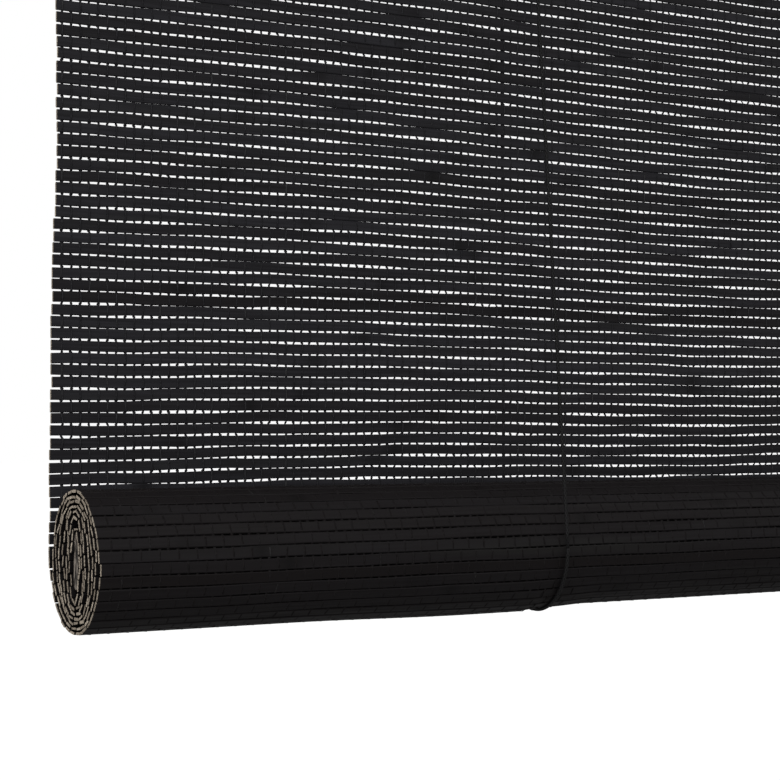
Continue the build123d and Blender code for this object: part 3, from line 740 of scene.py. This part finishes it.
class BLIND_OT_hanging_threads(bpy.types.Operator):
    """Weave the warp threads of the hanging mat"""

    bl_idname = "blind.hanging_threads"
    bl_label = "Hanging Threads"

    def execute(self, context):
        """A thread is a flat diamond carried up the mat, in front of one slat and behind the next.

        Neighbouring threads take opposite sides.
        """
        mat = context.scene.blind_mat
        rng = np.random.default_rng(23)
        places = thread_places(mat)
        along, aside = weave_profile(SLAT_COUNT, mat, 0.05 * MM)
        z = (ROLL_Z + along)[None]
        for part, chosen in enumerate(np.array_split(np.arange(len(places)), 3)):
            side = np.where(chosen % 2, -1.0, 1.0)[:, None] * aside
            x = places[chosen][:, None] + rng.normal(0, THREAD_STRAY, side.shape)
            width = thread_widths(side.shape, mat, rng)
            rings = points_of(
                x[..., None] + width[..., None] / 2 * DIAMOND_SIDE,
                MAT_Y + side[..., None] + DIAMOND_OUT * mat.thread_depth / 2,
                (z + mat_wave(x, z, mat))[..., None],
            )
            made = strips(f"hanging_threads_{part + 1}", rings, smooth=True)
            add_values(made, "thread_dust", np.repeat(thread_dust(side.shape, rng), 4))
            settle(made, "headrail", thread_material("warp_thread", mat, mat.thread), "black_bamboo")
            shorten(made)
        return {"FINISHED"}


class BLIND_OT_roll_slats(bpy.types.Operator):
    """Build the slats of the wound mat"""

    bl_idname = "blind.roll_slats"
    bl_label = "Roll Slats"

    def execute(self, context):
        """Each slat's section is laid along the spiral of ovals and carried along X.

        Only the ends of the inner slats show, so they have few rings. They lie less neatly in their turns.
        """
        mat, roll = context.scene.blind_mat, context.scene.blind_roll
        table = spiral_table(roll)
        rolled = int(table[0][-1] / mat.slat_pitch - 0.8)
        for name, first, last, samples, seed in (
            ("roll_slats_outer", 0, OUTER_SLATS, 80, 31),
            ("roll_slats_inner", OUTER_SLATS, rolled, 14, 37),
        ):
            count, is_inner = last - first, first > 0
            x, stray, bow, tone, height, knuckle = slat_grid(count, samples, seed, mat)
            across, up = slat_section(mat.slat_height, mat.slat_thickness)
            middle = (np.arange(first, last) + 0.5) * mat.slat_pitch
            closer = 1.05 * height / mat.slat_height
            travelled = middle[:, None, None] + 0.6 * stray[..., None] - up * closer[..., None]
            middle_z = np.interp(middle, table[0], table[2])
            rng = np.random.default_rng(seed + 1)
            loose = rng.normal(0, 1, count)[:, None] * roll.slat_stray * is_inner
            outward = 0.5 * bow + loose + (0.0 if is_inner else roll_sag(x, middle_z[:, None], roll))
            spare = 0.2 if is_inner else 0.06
            thick = rng.uniform(0.97 - spare, 0.97 + spare, count)[:, None, None]
            tilt = rng.normal(0, 0.5, count)[:, None, None] * roll.slat_tilt * is_inner
            y, z = on_spiral(table, travelled, across * thick + outward[..., None] + tilt * up / up.max())
            made = strips(name, points_of(x[..., None], y, z))
            # Nearly every roll slat takes the brown stain: painted shade, a darker and warmer tone in place
            # of the light the roll gets.
            brown = 0.72 + 0.28 * rng.beta(1.5, 1.5, count)
            finish_slats(made, x, tone, knuckle, brown, len(up))
            replaced = () if is_inner else ("mat_roll",)
            settle(made, "roll", slat_material(mat), "black_bamboo", *replaced)
        return {"FINISHED"}


class BLIND_OT_roll_threads(bpy.types.Operator):
    """Weave the warp threads round the outer turn of the roll"""

    bl_idname = "blind.roll_threads"
    bl_label = "Roll Threads"

    def execute(self, context):
        """A thread is a flat diamond that follows the spiral, outside one slat and inside the next."""
        mat, roll = context.scene.blind_mat, context.scene.blind_roll
        table = spiral_table(roll)
        rng = np.random.default_rng(41)
        places = thread_places(mat)
        along, aside = weave_profile(THREADED_SLATS, mat, 0.2 * MM)
        side = np.where(np.arange(len(places)) % 2, -1.0, 1.0)[:, None] * -aside
        width = thread_widths(side.shape, mat, rng)
        x = places[:, None] + rng.normal(0, THREAD_STRAY, side.shape)
        sag = roll_sag(x, np.interp(along, table[0], table[2]), roll)
        outward = (side + sag)[..., None] - DIAMOND_OUT * mat.thread_depth / 2
        y, z = on_spiral(table, along[:, None], outward)
        rings = points_of(x[..., None] + width[..., None] / 2 * DIAMOND_SIDE, y, z)
        dust = 0.6 * thread_dust(side.shape, rng)
        for part, chosen in enumerate(np.array_split(np.arange(len(places)), 2)):
            made = strips(f"roll_threads_{part + 1}", rings[chosen], smooth=True)
            add_values(made, "thread_dust", np.repeat(dust[chosen], 4))
            # The roll's threads take the darker wound thread colour, which is painted shade.
            settle(made, "roll", thread_material("shaded_wound_thread", mat, mat.shaded_wound_thread), "black_bamboo")
        return {"FINISHED"}


class BLIND_OT_lift_cords(bpy.types.Operator):
    """Build the lift cords: back runs, slings under the roll, front runs and runs along the headrail"""

    bl_idname = "blind.lift_cords"
    bl_label = "Lift Cords"

    def execute(self, context):
        """Each run is a round tube along straight lines and arcs, and each sling one along half an oval."""
        cords = context.scene.blind_cords
        radius = cords.diameter / 2
        material = cord_material(cords)
        low_z = ROLL_Z + 0.3 * MM
        share = np.linspace(0, 1, 60)[:, None]
        turn = np.linspace(0, np.pi, 72)[:, None]
        bend = np.linspace(0, np.pi / 2, 20)
        rise, reach = CORD_PATH_RADIUS * np.sin(bend), CORD_PATH_RADIUS * np.cos(bend)
        for side, (front_x, back_x, row_y) in STATIONS.items():
            for run, low, high in (
                ("front", (front_x, ROLL_Y - SLING_RADIUS, low_z), (front_x, row_y, PULLEY_Z)),
                ("back", (back_x, ROLL_Y + SLING_RADIUS, low_z), (back_x, EYE_Y, KNOT_FLOOR_Z)),
            ):
                path = np.array(low) + (np.array(high) - np.array(low)) * share
                made = tube(f"{side}_{run}_run", path, radius, (1, 0, 0))
                settle(made, "headrail", material, "lift_cord", f"{side}_cord_{run}_run")
                shorten(made)

            half = np.array([(back_x - front_x) / 2, SLING_RADIUS, 0.0])
            centre = np.array([(front_x + back_x) / 2, ROLL_Y, ROLL_Z])
            path = centre + np.cos(turn) * half - np.sin(turn) * np.array([0, 0, cords.sling_drop])
            plane = np.cross(half, (0, 0, 1))
            made = tube(f"{side}_sling", path, radius, plane / np.linalg.norm(plane))
            settle(made, "cord_slings", material, "lift_cord", f"{side}_cord_sling")

            axis_x = front_x + CORD_PATH_RADIUS
            run_x = np.linspace(axis_x, LOCK_X, 90)[1:-1]
            run_z = np.full(len(run_x), PULLEY_Z + CORD_PATH_RADIUS)
            path_x = np.concatenate([axis_x - reach, run_x, LOCK_X + rise, [CORD_EXIT_X]])
            path_z = np.concatenate([PULLEY_Z + rise, run_z, PULLEY_Z + reach, [CORD_EXIT_Z]])
            made = tube(f"{side}_rail_run", points_of(path_x, row_y, path_z), radius, (0, 1, 0))
            settle(made, "headrail", material, "lift_cord", f"{side}_cord_rail_run")
        return {"FINISHED"}


class BLIND_OT_cord_knots(bpy.types.Operator):
    """Tie each lift cord to its screw eye"""

    bl_idname = "blind.cord_knots"
    bl_label = "Cord Knots"

    def execute(self, context):
        """A small ring through the eye, and under it a trefoil curve: the shape of an overhand knot."""
        cords = context.scene.blind_cords
        material = cord_material(cords)
        reach = 2 * MM
        ring_turn = np.linspace(0, 2 * np.pi, 48, endpoint=False)
        turn = np.linspace(0, 2 * np.pi, 120, endpoint=False)
        trefoil = 0.42 * MM * points_of(
            np.sin(turn) + 2 * np.sin(2 * turn), np.cos(turn) - 2 * np.cos(2 * turn), -1.6 * np.sin(3 * turn)
        )
        for side, (_, back_x, _) in STATIONS.items():
            ring = points_of(
                back_x, EYE_Y + reach * np.sin(ring_turn), KNOT_RING_Z + reach * np.cos(ring_turn)
            )
            made = tube(f"{side}_knot_loop", ring, cords.diameter * 0.45, (1, 0, 0), closed=True)
            settle(made, "headrail", material, "lift_cord", f"{side}_cord_knot")
            wound = trefoil + (back_x, EYE_Y, KNOT_Z)
            made = tube(f"{side}_overhand_knot", wound, cords.diameter * 0.4, (0, 0, 1), 10, closed=True)
            settle(made, "headrail", material, "lift_cord")
        return {"FINISHED"}


def pull_cord_route(side, cords):
    """Route of one pull cord: down from the lock, round the coil's turns, and out to the pull.

    Turn by turn it steps across its own three columns, then out to the next layer, and back again.
    """
    row_y = STATIONS[side][2]
    hand = 1 if side == "left" else -1
    coil_x, coil_y, coil_z = COIL
    route = [(CORD_EXIT_X, row_y, CORD_EXIT_Z), (CORD_EXIT_X, row_y, CORD_EXIT_Z - 9 * MM)]
    route.append((CORD_EXIT_X + 1.2 * MM, row_y, coil_z + 12 * MM))
    per_turn, turns, columns = 16, 18, 3
    past_last_turn = 9
    for step in range(per_turn * turns + past_last_turn):
        layer, place = divmod(min(step // per_turn, turns - 1), columns)
        column = place if layer % 2 == 0 else columns - 1 - place
        radius = cords.coil_inner + layer * cords.coil_step
        angle = -2 * math.pi * step / per_turn
        y = coil_y + hand * (0.5 + column) * cords.coil_step
        route.append((coil_x + radius * math.cos(angle), y, coil_z + radius * math.sin(angle)))
    pull_x = coil_x - 6 * MM - hand * 0.95 * MM
    arch_z = coil_z + 10.97 * MM
    route += [
        (pull_x, coil_y - 5.5 * MM, arch_z),
        (pull_x, coil_y - 10.5 * MM, arch_z + 0.5 * MM),
        (pull_x, coil_y - 12.8 * MM, arch_z - 4 * MM),
        (pull_x, coil_y - 12.8 * MM, arch_z - 17 * MM),
    ]
    return route


def cord_curve(name, route, diameter):
    """A cord as one open smooth spline through its route's control points."""
    data = bpy.data.curves.new(name, "CURVE")
    data.dimensions = "3D"
    data.bevel_depth = diameter / 2
    data.bevel_resolution = 2
    data.resolution_u = 3
    data.use_fill_caps = True
    spline = data.splines.new("NURBS")
    spline.points.add(len(route) - 1)
    spline.points.foreach_set("co", np.array([(*point, 1.0) for point in route], np.float32).ravel())
    spline.order_u = 3
    spline.use_endpoint_u = True
    made = bpy.data.objects.new(name, data)
    bpy.context.scene.collection.objects.link(made)
    return made


class BLIND_OT_pull_cords(bpy.types.Operator):
    """Build the two put-away pull cords and their turned pull"""

    bl_idname = "blind.pull_cords"
    bl_label = "Pull Cords"

    def execute(self, context):
        """The pull is a lathe shape: its outline, a radius for each height, is turned about its axis."""
        cords = context.scene.blind_cords
        low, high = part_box("wooden_pull")
        centre_x, centre_y = (low.x + high.x) / 2, (low.y + high.y) / 2
        place, reach = np.array(PULL_OUTLINE).T
        whole = np.arange(len(place))
        fine = np.linspace(0, len(place) - 1, 90)
        place, reach = np.interp(fine, whole, place), np.interp(fine, whole, reach * MM)
        turn = np.arange(40) * 2 * np.pi / 40
        rings = points_of(
            centre_x + reach[:, None] * np.cos(turn),
            centre_y + reach[:, None] * np.sin(turn),
            low.z + place[:, None] * (high.z - low.z),
        )
        pull = strips("turned_pull", rings[None, :-1], smooth=True, closed=True)
        wood = wood_material("turned_wood", PULL_STAIN, PULL_GRAIN)
        settle(pull, "headrail", wood, "pull_wood", "wooden_pull")
        material = coil_cord_material(cords)
        for side in STATIONS:
            route = pull_cord_route(side, cords)
            made = cord_curve(f"{side}_pull_cord", route, cords.diameter)
            nodes = [f"{side}_cord_tail", f"{side}_cord_end"] + (["cord_coil"] if side == "left" else [])
            settle(made, "headrail", material, "lift_cord", *nodes)
        return {"FINISHED"}


class BLIND_OT_coil_tie(bpy.types.Operator):
    """Wind the tie round the top of the coil"""

    bl_idname = "blind.coil_tie"
    bl_label = "Coil Tie"

    def execute(self, context):
        """Three turns of a rounded square, each a little further along X, as one tube."""
        coil_x, coil_y, coil_z = COIL
        half_width, tie_radius = 1.4 * MM, 0.62 * MM
        turn = np.linspace(0, 6 * np.pi, 150)
        reach = 6.75 * MM * (np.cos(turn) ** 4 + np.sin(turn) ** 4) ** -0.25
        path = points_of(
            coil_x - half_width + 2 * half_width * turn / turn[-1],
            coil_y + reach * np.cos(turn),
            coil_z + 12.5 * MM + reach * np.sin(turn),
        )
        made = tube("wound_tie", path, tie_radius, (1, 0, 0), 10)
        settle(made, "headrail", cord_material(context.scene.blind_cords), "lift_cord", "coil_tie")
        return {"FINISHED"}


class BLIND_OT_finishes(bpy.types.Operator):
    """Give the headrail and the hardware their finishes"""

    bl_idname = "blind.finishes"
    bl_label = "Wood and Metal Finishes"

    def execute(self, context):
        """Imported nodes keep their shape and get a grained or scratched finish."""
        finish_of = {"headrail_wood": wood_material("stained_wood", HEADRAIL_STAIN, HEADRAIL_GRAIN)}
        for slot, values in HARD_FINISHES.items():
            finish_of[slot] = scratched_material(*values)
        for part in frame["record"]["subparts"]:
            if part["material_slot"] in finish_of:
                dress_node(part["node"], finish_of[part["material_slot"]])
        dress_node("bottom_rail", lath_material())
        return {"FINISHED"}


def area_lamp(name, place, target, width, power):
    """A soft square lamp that faces a point."""
    data = bpy.data.lights.new(name, "AREA")
    data.size = width
    data.energy = power
    lamp = bpy.data.objects.new(name, data)
    bpy.context.scene.collection.objects.link(lamp)
    away = np.array(place) - np.array(target)
    flat = math.hypot(away[0], away[1])
    lamp.location = place
    lamp.rotation_euler = (math.atan2(flat, away[2]), 0.0, math.atan2(away[1], away[0]) + math.pi / 2)


class BLIND_OT_stage(bpy.types.Operator):
    """Set the floor, the light and the camera"""

    bl_idname = "blind.stage"
    bl_label = "Stage"

    def execute(self, context):
        """A pale floor well below the blind, even white light, two soft lamps and the camera."""
        scene = context.scene
        stage = scene.blind_stage
        scene.view_settings.view_transform = "Standard"
        scene.world = world = bpy.data.worlds.new("plain_light")
        world.use_nodes = True
        tree = world.node_tree
        background = tree.nodes["Background"]
        background.inputs["Color"].default_value = (1, 1, 1, 1)
        path = tree.nodes.new("ShaderNodeLightPath")
        seen = math_node(tree, "MAXIMUM", path.outputs["Is Camera Ray"], path.outputs["Is Transmission Ray"])
        strength = math_node(tree, "ADD", math_node(tree, "MULTIPLY", seen, 1.0 - stage.sky), stage.sky)
        tree.links.new(strength, background.inputs["Strength"])

        x, y = FLOOR_EDGE * np.array([[-1, 1, 1, -1], [-1, -1, 1, 1]])
        floor = make_mesh_object("pale_floor", points_of(x, y, FLOOR_Z), np.array([[0, 1, 2, 3]]))
        material, tree, shader = new_material("pale_floor", 0.9, specular=0.1)
        shader.inputs["Base Color"].default_value = (FLOOR_GREY, FLOOR_GREY, FLOOR_GREY, 1.0)
        shader.inputs["Emission Color"].default_value = (1, 1, 1, 1)
        path = tree.nodes.new("ShaderNodeLightPath")
        lit = math_node(tree, "MULTIPLY", path.outputs["Is Camera Ray"], FLOOR_GLOW)
        tree.links.new(lit, shader.inputs["Emission Strength"])
        floor.data.materials.append(material)

        area_lamp("key_lamp", (-0.9, -1.9, 1.2), target=(0.0, 0.0, -0.4), width=1.6, power=stage.key)
        area_lamp("side_lamp", (-2.2, -0.5, -0.2), target=(-0.5, 0.0, -0.45), width=1.0, power=stage.side)

        data = bpy.data.cameras.new("view_camera")
        data.lens = stage.lens
        data.sensor_width = SENSOR_WIDTH
        data.shift_x, data.shift_y = CAMERA_SHIFT
        data.clip_start, data.clip_end = 0.01, 50.0
        camera = bpy.data.objects.new("view_camera", data)
        scene.collection.objects.link(camera)
        camera.location = CAMERA_PLACE
        camera.rotation_euler = (math.radians(90), 0.0, math.radians(CAMERA_TURN))
        scene.camera = camera
        return {"FINISHED"}


STEPS = (
    BLIND_OT_stage,
    BLIND_OT_pull_cords,
    BLIND_OT_lift_cords,
    BLIND_OT_cord_knots,
    BLIND_OT_coil_tie,
    BLIND_OT_hanging_slats,
    BLIND_OT_hanging_threads,
    BLIND_OT_roll_slats,
    BLIND_OT_roll_threads,
    BLIND_OT_finishes,
)

SETTINGS = {
    "blind_mat": BlindMatSettings,
    "blind_roll": BlindRollSettings,
    "blind_cords": BlindCordSettings,
    "blind_stage": BlindStageSettings,
}


class BLIND_PT_panel(bpy.types.Panel):
    """Lists the blind's steps and settings"""

    bl_idname = "BLIND_PT_panel"
    bl_label = "Bamboo Blind"
    bl_space_type = "VIEW_3D"
    bl_region_type = "UI"
    bl_category = "Blind"

    def draw(self, context):
        """One button for each step, and the settings below."""
        for step in STEPS:
            self.layout.operator(step.bl_idname)
        for group, kind in SETTINGS.items():
            for name in kind.__annotations__:
                self.layout.prop(getattr(context.scene, group), name)


def register():
    """Registers the settings, the steps and the panel."""
    for name, kind in SETTINGS.items():
        bpy.utils.register_class(kind)
        setattr(bpy.types.Scene, name, bpy.props.PointerProperty(type=kind))
    for step in (*STEPS, BLIND_PT_panel):
        bpy.utils.register_class(step)


def unregister():
    """Removes what register added."""
    for step in reversed((*STEPS, BLIND_PT_panel)):
        bpy.utils.unregister_class(step)
    for name, kind in SETTINGS.items():
        delattr(bpy.types.Scene, name)
        bpy.utils.unregister_class(kind)


def main():
    """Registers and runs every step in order."""
    register()
    for step in STEPS:
        group, name = step.bl_idname.split(".")
        getattr(getattr(bpy.ops, group), name)()


if __name__ == "__main__":
    main()
